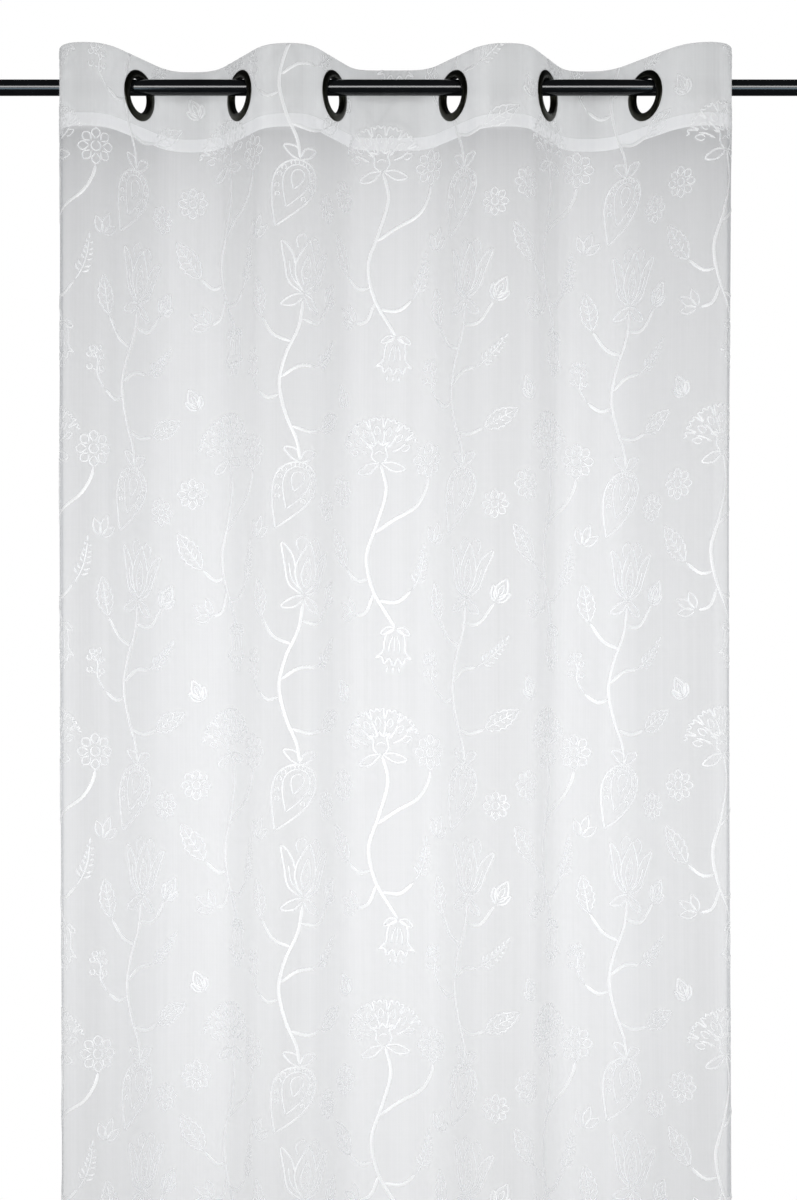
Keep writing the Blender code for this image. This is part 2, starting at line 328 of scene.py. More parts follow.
def running_sum(values, step):
    """Running integral of evenly spaced values, by trapezoids, starting at 0."""
    return np.concatenate([[0.0], np.cumsum((values[1:] + values[:-1]) / 2) * step])


def rounded(angles, step):
    """The angles blurred along the cloth with a bell curve, as free folds round themselves."""
    reach = int(3 * FOLD_ROUNDING / step)
    offsets = np.arange(-reach, reach + 1) * step
    bell = np.exp(-0.5 * (offsets / FOLD_ROUNDING) ** 2)
    return np.convolve(np.pad(angles, reach, mode="edge"), bell / bell.sum(), mode="valid")


def eased(share):
    """0 to 1 with level ends: 3 s^2 - 2 s^3."""
    share = np.clip(share, 0.0, 1.0)
    return share * share * (3.0 - 2.0 * share)


# %% The wave at the heading, and at any height
stretches = heading_stretches()
stretch_ends = np.concatenate([[0.0], np.cumsum([s.length for s in stretches])])
CLOTH_WIDTH = float(stretch_ends[-1])
ALONG = np.linspace(0.0, CLOTH_WIDTH, int(CLOTH_WIDTH / CURVE_STEP) + 1)
STEP = ALONG[1]
spans = zip(stretch_ends, stretch_ends[1:], stretches)
places = np.concatenate([np.linspace(a, b, len(s.angles)) for a, b, s in spans])
HEADING_ANGLES = np.interp(ALONG, places, np.concatenate([s.angles for s in stretches]))
FREE_ANGLES = rounded(HEADING_ANGLES, STEP)
MEAN_Y = mean_of(EDGE_Y + running_sum(np.sin(HEADING_ANGLES), STEP))


@lru_cache(maxsize=None)
def wave(height):
    """X, Y and angle along the cloth at a height, scaled to the hung width.

    Below the heading the angles ease from the heading's to the rounded ones, times
    1 + unevenness * sin(phase). Halving finds the scale that keeps the width, and each step
    turns the whole wave level.
    """
    below = max(0.0, HEADING_BOTTOM - height)
    loose = float(eased(below / RELAX_DEPTH))
    phase = ALONG / UNEVEN_WAVE_WIDTH + below / UNEVEN_WAVE_DROP
    uneven = 1.0 + FOLD_UNEVENNESS * loose * np.sin(2 * math.pi * phase)
    angles = (HEADING_ANGLES * (1.0 - loose) + FREE_ANGLES * loose) * uneven
    (low, high), turn = FOLD_SCALES, 0.0
    for _ in range(WIDTH_SEARCH_STEPS):
        scale = (low + high) / 2
        across = running_sum(np.sin(scale * angles + turn), STEP)[-1]
        along = running_sum(np.cos(scale * angles + turn), STEP)[-1]
        turn -= across / along
        low, high = (scale, high) if along > RIGHT_EDGE_X - LEFT_EDGE_X else (low, scale)
    final = scale * angles + turn
    x = LEFT_EDGE_X + running_sum(np.cos(final), STEP)
    y = running_sum(np.sin(final), STEP)
    return x, y + MEAN_Y - mean_of(y), final


print(f"the cloth is {CLOTH_WIDTH:.4f} m wide when flat")

# %% [markdown]
# ## Small creases
#
# Hanging voile isn't perfectly smooth between its folds: a few soft upright troughs and ridges
# run down from the eyelets and fade out. Each is a row of a table: where it is across the flat
# cloth, how wide it is, how many millimetres deep, where it begins and ends, and how far it
# wanders sideways.

# %% Crease table and its formula
Crease = namedtuple("Crease", "across width depth top bottom wander")
CREASES = [
    Crease(*row)
    for row in (
        (0.108, 0.010, 1.2, -0.07, -0.62, 0.010),
        (0.196, 0.009, -1.4, -0.06, -0.48, -0.012),
        (0.283, 0.010, 1.3, -0.06, -0.66, 0.014),
        (0.372, 0.009, -1.3, -0.06, -0.52, -0.010),
        (0.447, 0.010, 1.5, -0.06, -0.75, 0.016),
        (0.520, 0.016, -1.3, -0.30, -1.30, 0.008),
        (0.556, 0.012, 1.1, -0.60, -2.10, -0.014),
        (0.640, 0.010, -1.4, -0.06, -0.58, -0.012),
        (0.735, 0.010, 1.3, -0.06, -0.62, 0.012),
        (0.815, 0.009, -1.3, -0.06, -0.50, 0.010),
        (0.892, 0.011, 1.4, -0.06, -0.84, -0.016),
        (0.968, 0.010, -1.2, -0.06, -0.55, 0.012),
        (1.072, 0.012, 1.3, -0.07, -0.70, -0.010),
        (0.330, 0.018, 1.4, -0.90, -2.25, 0.020),
        (0.800, 0.018, -1.4, -0.70, -2.20, -0.020),
    )
]


def crease_depth(along, height):
    """Sum of bell-shaped troughs, each eased in below its top and out above its bottom."""
    total = np.zeros_like(along)
    for crease in CREASES:
        way = (crease.top - height) / (crease.top - crease.bottom)
        strength = float(eased(way / 0.25) * eased((1.0 - way) / 0.6))
        middle = crease.across + crease.wander * way
        total += crease.depth * MM * strength * np.exp(-(((along - middle) / crease.width) ** 2))
    return total


print(len(CREASES), "creases, deepest", max(abs(c.depth) for c in CREASES), "mm")

# %% [markdown]
# ## One length of cloth, from its hidden edge to its hem
#
# The heading isn't a separate strip: the cloth goes over the top, down the back, and its raw
# edge is tucked up inside. At the bottom it turns up into a hem. So the whole curtain is one
# sheet carried along a path of heights, each a little in front of or behind the middle of the
# folds. Round the eyelets the grid's cells are taken out, and the points that are left on the
# rim are drawn onto a true circle, which the eyelet's flange then covers.

# %% The path of the sheet
SHEET_THICKNESS, SHEET_COLUMNS = 0.4 * MM, 281
FRONT_LAYER, BACK_LAYER, TUCK_LAYER, HEM_LAYER = -0.8 * MM, 0.8 * MM, 0.25 * MM, 0.6 * MM
TUCK_DEPTH, HEM_DEPTH, FREED_OVER = 16.0 * MM, 30.0 * MM, 0.060
HEADING_FOLD, TOP_FOLD = HEADING_BOTTOM + 0.6 * MM, CLOTH_TOP - 1.0 * MM
BOTTOM_FOLD = PANEL_BOTTOM + 0.6 * MM


def turn_over(start_behind, end_behind, height, side, count):
    """A turn between two layers: a half circle above (1) or below (-1) a height."""
    t = np.linspace(0.0, math.pi, count)
    middle, radius = (start_behind + end_behind) / 2, (start_behind - end_behind) / 2
    return middle + radius * np.cos(t), height + side * abs(radius) * np.sin(t)


def straight(layer, start, end, count, first=0, crowding=1.0):
    """Heights on one layer from start up to end without it, crowded towards the start."""
    share = np.linspace(0.0, 1.0, count, endpoint=False)[first:]
    return np.full(len(share), layer), start + (end - start) * share**crowding


panel_layer, down_panel = straight(FRONT_LAYER, HEADING_BOTTOM, BOTTOM_FOLD, 84, crowding=1.35)
sections = [
    straight(TUCK_LAYER, HEADING_BOTTOM + TUCK_DEPTH, HEADING_FOLD, 4),
    turn_over(TUCK_LAYER, BACK_LAYER, HEADING_FOLD, -1, 4),
    straight(BACK_LAYER, HEADING_FOLD, TOP_FOLD, 25, first=1),
    turn_over(BACK_LAYER, FRONT_LAYER, TOP_FOLD, 1, 7),
    straight(FRONT_LAYER, TOP_FOLD, HEADING_BOTTOM, 25, first=1),
    (panel_layer * (1.0 - eased((HEADING_BOTTOM - down_panel) / FREED_OVER)), down_panel),
    turn_over(0.0, HEM_LAYER, BOTTOM_FOLD, -1, 4),
    straight(HEM_LAYER, BOTTOM_FOLD, PANEL_BOTTOM + HEM_DEPTH, 5, first=1),
]
TUCK_TURN, TOP_TURN, HEM_UP = 1, 3, 7
behind, heights = (np.concatenate(part) for part in zip(*sections))
starts = np.cumsum([0] + [len(section[0]) for section in sections])
path = np.concatenate([[0.0], np.cumsum(np.hypot(np.diff(behind), np.diff(heights)))])
path -= path[starts[TOP_TURN] + len(sections[TOP_TURN][0]) // 2]


# %% Points of any layer of the cloth
def layer_points(along, heights, behind):
    """For each height, the wave's point at each place along it, moved back along its normal.

    The normal of a wave at angle a is (-sin a, cos a), and creases are added to the way back.
    """
    rows = []
    for height, back in zip(heights, behind):
        x, y, angle = (np.interp(along, ALONG, part) for part in wave(min(height, HEADING_BOTTOM)))
        back = back + crease_depth(along, height)
        row = [x - back * np.sin(angle), y + back * np.cos(angle), np.full_like(x, height)]
        rows.append(np.stack(row, -1))
    return np.array(rows)


EYELET_DEPTH, BEYOND_WEIGHT = 6 * MM, 10


def from_eyelet(points):
    """Distance of points from the nearest eyelet's axis, and the way out from that axis.

    What lies more than EYELET_DEPTH in front of an eyelet or behind it is on another fold, so
    the way beyond that counts BEYOND_WEIGHT times.
    """
    best, outward = np.full(points.shape[:-1], np.inf), np.zeros_like(points)
    for index, eyelet in enumerate(EYELETS):
        lean = eyelet_angle(index)
        axis = np.array([math.sin(lean), -math.cos(lean), 0.0])
        arm = points - np.array([eyelet.x, 0.0, EYELET_Z])
        depth = arm @ axis
        radial = arm - depth[..., None] * axis
        beyond = np.maximum(np.abs(depth) - EYELET_DEPTH, 0)
        distance = np.linalg.norm(radial, axis=-1) + BEYOND_WEIGHT * beyond
        nearer = distance < best
        best = np.where(nearer, distance, best)
        outward = np.where(nearer[..., None], radial, outward)
    return best, outward


def open_holes(grid, radius):
    """The grid with its rim points drawn onto circles, and its quads outside the holes."""
    rows, columns = grid.shape[:2]
    middle = (grid[1:, 1:] + grid[1:, :-1] + grid[:-1, 1:] + grid[:-1, :-1]) / 4
    gone = from_eyelet(middle)[0] < radius
    near_gone, near_kept = np.zeros((2, rows, columns), bool)
    for down in (0, 1):
        for right in (0, 1):
            corner = np.s_[down : rows - 1 + down, right : columns - 1 + right]
            near_gone[corner] |= gone
            near_kept[corner] |= ~gone
    distance, outward = from_eyelet(grid)
    rim = near_gone & near_kept
    moved = grid.copy()
    moved[rim] += outward[rim] * (radius / distance[rim] - 1.0)[:, None]
    return moved, grid_faces(rows, columns)[~gone.ravel()]


HOLE_IN_CLOTH = 24.5 * MM
sheet_along = np.linspace(0.0, CLOTH_WIDTH, SHEET_COLUMNS)
sheet_grid = layer_points(sheet_along, heights, behind)
sheet_normals = np.cross(np.gradient(sheet_grid, axis=0), np.gradient(sheet_grid, axis=1))
sheet_normals /= np.linalg.norm(sheet_normals, axis=-1, keepdims=True)
sheet_points, sheet_faces = open_holes(sheet_grid, HOLE_IN_CLOTH)
print("sheet:", sheet_grid.shape, "quads", len(sheet_faces))

# %% [markdown]
# ## The voile
#
# Polyester voile is a plain weave of fine, hard-twisted yarn with gaps between the threads. A
# step away no thread can be told from the next; what shows is that some of what lies behind
# comes through, and that thicker and thinner yarns leave fine upright streaks. So the shader is
# a matt white dielectric with one even opacity for each face of the sheet, and its colour and a
# slight bump follow stretched noises laid out on the flat cloth in metres. In the heading a
# stiffener is fused to the weave, so it is denser there, and it is whitest in the lowest
# strip, where the tucked edge lies behind as well.

# %% Woven finishes
YARN_STREAK, STREAK_LENGTH = 2.2 * MM, 0.45
BROAD_STREAK, BROAD_LENGTH = 21.0 * MM, 1.25
WEFT_STREAK, WEFT_LENGTH = 1.6 * MM, 1 / 6.0


def woven_voile(name, thin_yarn, thick_yarn, face_opacity, roughness):
    """Matt woven polyester: upright yarn streaks, a faint weft, and an even opacity.

    Tone and bump follow yarn streaks + broad streaks + 0.35 * weft.
    """
    material, tree = new_finish(name)
    flat = add_node(tree, "UVMap", uv_map="flat_cloth")
    noises = []
    for across, down in (
        (YARN_STREAK, STREAK_LENGTH),
        (BROAD_STREAK, BROAD_LENGTH),
        (WEFT_LENGTH, WEFT_STREAK),
    ):
        laid = add_node(tree, "Mapping", {"Vector": flat, "Scale": (1 / across, 1 / down, 1.0)})
        sockets = {"Vector": laid, "Scale": 1.0, "Detail": 2.0}
        noises.append(add_node(tree, "TexNoise", sockets, noise_dimensions="2D"))
    both = add_node(tree, "Math", {0: noises[0], 1: noises[1]}, operation="ADD")
    weave = add_node(tree, "Math", {0: noises[2], 1: 0.35, 2: both}, operation="MULTIPLY_ADD")
    tone = add_node(tree, "MapRange", {"Value": weave, "From Min": 0.80, "From Max": 1.55})
    yarns = {"Factor": tone, 6: linear(thin_yarn), 7: linear(thick_yarn)}
    looks = {
        "Base Color": add_node(tree, "Mix", yarns, data_type="RGBA").outputs[2],
        "Roughness": roughness,
        "Sheen Weight": 0.10,
        "Alpha": face_opacity,
        "Normal": add_node(
            tree, "Bump", {"Height": weave, "Strength": 0.25, "Distance": 0.2 * MM}
        ),
    }
    add_node(tree, "OutputMaterial", {"Surface": add_node(tree, "BsdfPrincipled", looks)})
    return material


# One face lets 63% through, so the two faces of the sheet let 40% through, as voile does.
voile = woven_voile("polyester_voile_woven", "#C4C5C7", "#CACBCD", 0.37, 0.85)
# Fused to its stiffener the weave is denser and whiter: a face lets half through.
fused_heading = woven_voile("polyester_voile_fused", "#D5D6D7", "#DCDDDE", 0.50, 0.8)
# The turned side edges put more layers of the same weave behind the cloth: a denser band.
# Its colour is darker than the voile's, a painted shade that darkens the cloth's side edges.
shaded_turned_voile = woven_voile("polyester_voile_turned_painted_shade", "#A4A6A9", "#AEB0B2", 0.60, 0.85)
# Three layers of cloth and the stiffener: nearly solid white.
folded_edge = woven_voile("polyester_voile_folded", "#DEDFE1", "#E4E5E6", 0.75, 0.8)
# Non-woven fibres bonded by heat: an even paper white with no thread direction.
non_woven = woven_voile("bonded_non_woven", "#E9EAEB", "#F1F1F1", 0.35, 0.9)

# %% The curtain's cloth


def flat_uv(along, down):
    """Flat UV in metres of a grid of points: across the cloth, and up."""
    return np.stack(np.meshgrid(along, down), -1).reshape(-1, 2)


def thicken(piece, thickness):
    """Gives a sheet its thickness, half to each side."""
    wall = piece.modifiers.new("thickness", "SOLIDIFY")
    wall.thickness = thickness
    wall.offset = 0.0


middle_height = (heights[1:] + heights[:-1]) / 2
in_heading = middle_height > HEADING_BOTTOM
in_folded_edge = in_heading & (middle_height < HEADING_BOTTOM + TUCK_DEPTH)
finish_of_row = in_heading.astype(int) + in_folded_edge
cloth = add_piece(
    "voile_curtain",
    sheet_points,
    sheet_faces,
    [voile, fused_heading, folded_edge],
    uv=flat_uv(sheet_along, -path),
    material_index=finish_of_row[sheet_faces[:, 0] // SHEET_COLUMNS],
)
thicken(cloth, SHEET_THICKNESS)
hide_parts("voile_panel", "heading")

# %% [markdown]
# ## Stiffener and side hems
#
# Between the heading's two layers lies a strip of stiff white non-woven, which keeps the wave
# in shape, and down both sides the raw edges are turned to the back. They are thin strips on
# the same folds: the stiffener has the same six holes, and a hem lies half a millimetre behind
# the cloth, from just under the heading to just above the bottom hem.

# %% Stiffener and side hems
STIFFENER_LAYER, STIFFENER_THICKNESS = -0.25 * MM, 0.25 * MM
SIDE_HEM_WIDTH, SIDE_HEM_LAYER, SIDE_HEM_IN = 14.0 * MM, 0.55 * MM, 0.4 * MM


def add_strip(name, along, heights, layer, finish, thickness, holes=False):
    """A strip on one layer of the folds, from a grid of places along them and heights."""
    grid = layer_points(along, heights, np.full(len(heights), layer))
    faces = grid_faces(len(heights), len(along))
    if holes:
        grid, faces = open_holes(grid, HOLE_IN_CLOTH)
    strip = add_piece(name, grid, faces, [finish], uv=flat_uv(along, heights))
    thicken(strip, thickness)
    return strip


stiffener = add_strip(
    "heading_stiffener",
    np.linspace(1.0 * MM, CLOTH_WIDTH - 1.0 * MM, SHEET_COLUMNS),
    np.linspace(CLOTH_TOP - 2.0 * MM, HEADING_BOTTOM + 2.0 * MM, 24),
    STIFFENER_LAYER,
    non_woven,
    STIFFENER_THICKNESS,
    holes=True,
)
side_heights = np.linspace(HEADING_BOTTOM - 2.0 * MM, PANEL_BOTTOM + HEM_DEPTH, 80)
# The side hems wear the darker voile, a painted shade along both side edges of the cloth.
side_hems = [
    add_strip(
        f"side_hem_{side}",
        np.linspace(start, start + SIDE_HEM_WIDTH, 5),
        side_heights,
        SIDE_HEM_LAYER,
        shaded_turned_voile,
        SHEET_THICKNESS,
    )
    for side, start in (
        ("left", SIDE_HEM_IN),
        ("right", CLOTH_WIDTH - SIDE_HEM_IN - SIDE_HEM_WIDTH),
    )
]

# %% [markdown]
# ## Thread
#
# Everything sewn on this curtain is thread that lies on the cloth in slim raised lines: the
# embroidery, and the machine stitches of its seams. A line is carried along a path drawn on the
# flat cloth. At each step it has four points, one on each side, one raised above the face and
# one below the back, because a needle leaves thread on both sides. Smooth shading rounds that
# diamond into a cord, so a line that runs up a slope catches light which a line across it
# doesn't. Lines end in points, and they stop at the eyelets and at the cloth's edges.


# %% From flat cloth to hanging cloth
def on_cloth(u, v, lift):
    """The place of flat points (u across, v down the path), lifted off the face by lift.

    It reads the sheet's grid between its four nearest points, so the thread lies exactly on
    the sheet: each is weighted by how near it is in u and in v.
    """
    row = np.clip(np.searchsorted(path, v) - 1, 0, len(path) - 2)
    down = np.clip((v - path[row]) / (path[row + 1] - path[row]), 0.0, 1.0)[..., None]
    place = np.clip(u / CLOTH_WIDTH, 0.0, 1.0) * (SHEET_COLUMNS - 1)
    column = np.clip(place.astype(int), 0, SHEET_COLUMNS - 2)
    right = (place - column)[..., None]
    found = []
    for grid in (sheet_grid, sheet_normals):
        upper = grid[row, column] * (1 - right) + grid[row, column + 1] * right
        lower = grid[row + 1, column] * (1 - right) + grid[row + 1, column + 1] * right
        found.append(upper * (1 - down) + lower * down)
    return found[0] + found[1] * lift[..., None]


# %% Thread lines as meshes
THREAD_RISE, THREAD_SINK, NO_WIDTH, THREAD_GIRTH = 0.34, 0.24, 0.02 * MM, 2 * MM
SHARP_THREAD, SHARP_METAL = math.radians(100.0), math.radians(40.0)


def add_thread(name, u, v, half, first, material):
    """Raised lines along flat points, half as wide to each side, first marking each line's start.

    Side points lie across the line's direction by its half width; the raised point stands
    THREAD_RISE of the half width above the face, the sunk one THREAD_SINK below the back.
    Where the half width falls to nothing the four points become one, which closes the line.
    """
    last = np.append(first[1:], True)
    ahead = np.where(last, 0, 1) + np.arange(len(u))
    back = np.where(first, 0, -1) + np.arange(len(u))
    du, dv = u[ahead] - u[back], v[ahead] - v[back]
    size = np.maximum(np.hypot(du, dv), 1e-9)
    side_u, side_v = -dv / size * half, du / size * half
    face = SHEET_THICKNESS / 2
    tip, level = half < NO_WIDTH, np.zeros_like(u)
    rise = np.where(tip, 0.0, face + THREAD_RISE * half)
    sink = np.where(tip, 0.0, -face - THREAD_SINK * half)
    corners = ((-1, level), (0, rise), (1, level), (0, sink))
    rings = np.stack([on_cloth(u + k * side_u, v + k * side_v, up) for k, up in corners], axis=1)
    length = np.cumsum(np.where(first, 0.0, np.hypot(u - u[back], v - v[back])))
    around = np.tile(np.arange(4) / 4, len(u)) * THREAD_GIRTH
    uv = np.stack([np.repeat(length, 4), around], axis=-1)
    index = np.arange(len(u) * 4).reshape(-1, 4)
    index[tip] = index[tip][:, :1]
    start = np.flatnonzero(~last)
    start = start[~(tip[start] & tip[start + 1])]
    here, there = index[start], index[start + 1]
    turn = np.roll(np.arange(4), -1)
    sides = ((here, there, there[:, turn]), (here, there[:, turn], here[:, turn]))
    triangles = np.concatenate([np.stack(side, -1).reshape(-1, 3) for side in sides])
    whole = (triangles != np.roll(triangles, -1, axis=1)).all(axis=1)
    used, faces = np.unique(triangles[whole], return_inverse=True)
    points = rings.reshape(-1, 3)[used]
    thread = add_piece(name, points, faces.reshape(-1, 3), [material], uv=uv[used])
    thread.data.set_sharp_from_angle(angle=SHARP_THREAD)
    return thread


# %% [markdown]
# ## Two threads
#
# Embroidery like this is worked in a glossy viscose or polyester thread, laid in close slanting
# stitches, so it has a silky gleam that changes with the direction of the line. Its shader is
# white with a stretched highlight across the thread and a fine slanting bump for the stitches.
# The seams are sewn with ordinary spun polyester, which is duller and thinner. The stitches'
# pitch is drawn coarser than the real 0.4 mm or so, which no view from here would show.

# %% Thread finishes
STITCH_PITCH = 1.4 * MM


def spun_thread(name, colour, shade, roughness, gleam, sheen):
    """Twisted thread: a slanting ridge every STITCH_PITCH, and a highlight across it.
    Between the ridges the colour darkens to shade, a painted shade in the grooves.
    """
    material, tree = new_finish(name)
    flat = add_node(tree, "UVMap", uv_map="flat_cloth")
    ridges = add_node(
        tree,
        "TexWave",
        {"Vector": flat, "Scale": math.tau / 20 / STITCH_PITCH, "Distortion": 0.6},
        wave_type="BANDS",
        bands_direction="DIAGONAL",
    ).outputs["Fac"]
    # The colour drops to shade in the grooves between the ridges: painted shade.
    tints = {"Factor": ridges, 6: linear(shade), 7: linear(colour)}
    looks = {
        "Base Color": add_node(tree, "Mix", tints, data_type="RGBA").outputs[2],
        "Roughness": roughness,
        "Anisotropic": gleam,
        "Sheen Weight": sheen,
        "Sheen Roughness": 0.4,
        "Anisotropic Rotation": 0.25,
        "Tangent": add_node(tree, "Tangent", direction_type="UV_MAP", uv_map="flat_cloth"),
        "Normal": add_node(
            tree, "Bump", {"Height": ridges, "Strength": 0.12, "Distance": 0.15 * MM}
        ),
    }
    add_node(tree, "OutputMaterial", {"Surface": add_node(tree, "BsdfPrincipled", looks)})
    return material


# Viscose laid in satin stitch: white, with a silky gleam along one side of each line.
satin_thread = spun_thread("viscose_embroidery_thread", "#E3E4E5", "#DEDFE0", 0.40, 0.6, 0.8)
# Spun polyester: a dull, slightly greyer white.
seam_thread = spun_thread("spun_polyester_thread", "#EDEEEC", "#E2E2E0", 0.6, 0.3, 0.3)

# %% [markdown]
# ## The embroidery's pattern
#
# White flowers and leaves of the ordinary folk kind cover the whole cloth in a repeat of about
# 280 by 355 mm. They are drawn here from simple curves rather than taken from any one design:
# a carnation, a tulip, a teardrop, a bell, daisies, toothed leaves and feathery sprigs, hung on
# two wandering stems. Each motif is a list of lines in millimetres, with its base at the origin
# and growing up, so a table can place, turn and size it in the repeat.

# %% Curves that the motifs are drawn with
REPEAT_ACROSS, REPEAT_DOWN = 280.0, 355.0
OUTLINE, FINE, STEM, DASH = 2.8, 2.1, 4.8, 3.0


def curve(points, per_span=8):
    """A smooth curve through points: each span is the cubic of its four nearest points."""
    p = np.asarray(points, float)
    p = np.concatenate([2 * p[:1] - p[1:2], p, 2 * p[-1:] - p[-2:-1]])
    t = np.linspace(0.0, 1.0, per_span, endpoint=False)[None, :, None]
    a, b, c, d = (p[i : len(p) - 3 + i, None, :] for i in range(4))
    cubic = 2 * b + (c - a) * t + (2 * a - 5 * b + 4 * c - d) * t**2
    cubic = (cubic + (3 * b - a - 3 * c + d) * t**3) / 2
    return np.concatenate([cubic.reshape(-1, 2), p[-2:-1]])


def placed(points, degrees, x=0.0, y=0.0, size=1.0):
    """Points made size times as large, turned clockwise and moved."""
    angle = math.radians(degrees)
    turn = np.array([[math.cos(angle), -math.sin(angle)], [math.sin(angle), math.cos(angle)]])
    return np.asarray(points, float) * size @ turn + [x, y]


def both_sides(points, width):
    """A line and its mirror image, both of a width."""
    return [(points, width), (points * [-1.0, 1.0], width)]


def petal(length, width, fullness=1.0, start=0.0):
    """A pointed loop: half as wide as width * sin(180 degrees * s ** fullness) at share s."""
    s = np.linspace(0.0, 1.0, 14)
    x, y = width / 2 * np.sin(math.pi * s**fullness), start + length * s
    return np.concatenate([np.stack([-x, y], 1), np.stack([x, y], 1)[-2::-1]])


def ring(radius, x=0.0, y=0.0, count=12):
    """A circle of count points round (x, y)."""
    t = np.linspace(0.0, math.tau, count)
    return np.stack([x + radius * np.sin(t), y + radius * np.cos(t)], 1)


# %% Flowers
def carnation():
    """A fan of seven toothed petals on a cup: the rim's radius rises and falls with the angle."""
    petal_angle, angle = 26.0, np.linspace(-78.0, 78.0, 79)
    tooth = np.abs((angle / petal_angle * 3) % 1.0 * 2 - 1)
    notch = np.abs((angle / petal_angle + 0.5) % 1.0 * 2 - 1) > 0.86
    radius, turn = 43.0 * (0.90 + 0.10 * tooth - 0.20 * notch), np.radians(angle)
    lines = [(np.stack([radius * np.sin(turn), 8 + 0.92 * radius * np.cos(turn)], 1), OUTLINE)]
    edge = curve([(0, 13), (1.4, 23), (0, 32)])
    lines += [(placed(edge, k * petal_angle, 0, 4), OUTLINE) for k in np.arange(-2.5, 3.0)]
    for k in range(-3, 4):
        lines.append((placed(petal(11, 6, 0.8, 23), k * 25.0, 0, 5), FINE))
        lines.append((placed([(0, 14), (0.4, 17), (0, 20)], k * 23.0, 0, 5), FINE))
    lines += both_sides(curve([(-3, 0), (-8, 6), (-7, 15), (-12, 21), (-4, 18), (0, 24)]), OUTLINE)
    lines.append((curve([(-6, 9), (0, 12), (6, 9)]), FINE))
    return lines + both_sides(curve([(0, 0), (14, -1), (25, -9), (13, -10), (0, 0)]), OUTLINE)


def tulip():
    """A pointed petal between two that curl outwards, over two sepals."""
    lines = [(petal(54, 25, 0.85, 6), OUTLINE), (petal(33, 11, 0.85, 12), FINE)]
    for line, width in (
        ([(-2, 5), (-17, 14), (-24, 33), (-30, 54), (-18, 44), (-12, 30)], OUTLINE),
        ([(-5, 10), (-15, 20), (-20, 36)], FINE),
        ([(-12, 48), (-15, 58), (-8, 64), (-4, 59)], FINE),
        ([(0, 5), (-12, 1), (-22, -9), (-9, -8), (0, 2)], OUTLINE),
    ):
        lines += both_sides(curve(line), width)
    return lines + [([(-2.6, y), (0.0, y + 2.6), (2.6, y)], FINE) for y in (19, 25, 31, 37)]


def daisy():
    """Eight rounded petals round a small ring."""
    petals = [(placed(petal(12.0, 9.0, 1.25, 6.6), 45.0 * k), FINE) for k in range(8)]
    return [(ring(5.0), FINE), *petals]


def teardrop():
    """A drop with a bent tip, a smaller one inside it and a row of rings between them."""
    t = np.linspace(0.0, math.tau, 60)

    def drop(half_width, half_length, bend, lift):
        y = half_length * (1 + np.cos(t))
        x = 1.35 * half_width * np.sin(t) * np.sin(t / 2) ** 1.2
        return np.stack([x + bend * (y / (2 * half_length)) ** 2, y + lift], 1)

    outer, inner = drop(25, 36, 20, 0), drop(15, 23, 10, 5)
    lines = [(outer, OUTLINE), (inner, FINE), (drop(7, 11, 4, 10), FINE)]
    middles = [((outer + inner) / 2)[int(share * 59)] for share in np.linspace(0.23, 0.80, 11)]
    lines += [(ring(2.6, *middle, 8), FINE) for middle in middles]
    return lines + both_sides(curve([(0, 0), (10, -4), (19, -14), (5, -13), (0, -2)]), OUTLINE)


def bell():
    """A hanging bell with a scalloped mouth, three ribs, three stamens and two sepals."""
    lines = both_sides(curve([(0, 0), (-9, -5), (-12, -16), (-13, -27), (-22, -36)]), OUTLINE)
    mouth = [(-22, -36), (-14, -34), (-11, -42), (-5, -35), (0, -43)]
    mouth += [(-x, y) for x, y in mouth[-2::-1]]
    lines.append((curve(mouth), OUTLINE))
    for k in (-1, 0, 1):
        lines.append((curve([(k * 2.0, -8), (k * 5.5, -18), (k * 6.5, -29)]), FINE))
        lines.append(([(k * 6, -44), (k * 7, -48), (k * 7.5, -52)], DASH))
    return lines + both_sides(curve([(0, 0), (10, 1), (17, -7), (8, -6), (0, -1)]), OUTLINE)


def bud():
    """A closed petal with a smaller one inside, held by two sepals."""
    lines = [(petal(25, 13, 0.8, 2), OUTLINE), (petal(12, 5, 0.8, 8), FINE)]
    return lines + both_sides(curve([(0, 0), (-8, 5), (-10, 15), (-4, 10), (0, 4)]), OUTLINE)


# %% Leaves
def toothed_leaf():
    """Two edges that swell as a sine and step outwards six times, a rib and its veins."""
    s = np.linspace(0.0, 1.0, 44)
    x, y = 11.5 * np.sin(math.pi * s**0.85) * (0.74 + 0.26 * ((s * 6) % 1.0)), 48.0 * s
    lines = both_sides(np.stack([x, y], 1), FINE)
    lines.append(([(0, 0), (0, 14), (0, 28), (0, 42)], FINE))
    for y in 48 * np.array([0.25, 0.42, 0.60]):
        lines += both_sides(np.array([(0, y), (3.6, y + 3.4), (6.2, y + 6.2)]), FINE)
    return lines


def feather():
    """A bent rib with six pairs of short dashes that shrink towards its tip."""
    rib = curve([(0, 0), (2, 16), (0, 32), (-4, 46)])
    lines = [(rib, FINE)]
    for k in range(6):
        x, y = rib[int((0.22 + 0.14 * k) * (len(rib) - 1))]
        reach = 12.0 * (1.0 - 0.11 * k)
        for side in (-1, 1):
            dash = [(0, 1), (side, reach / 2), (0, reach)]
            lines.append((placed(dash, side * 52, x, y), DASH))
    return [*lines, (placed([(0, 0), (0, 5), (0, 9)], -20, *rib[-1]), DASH)]


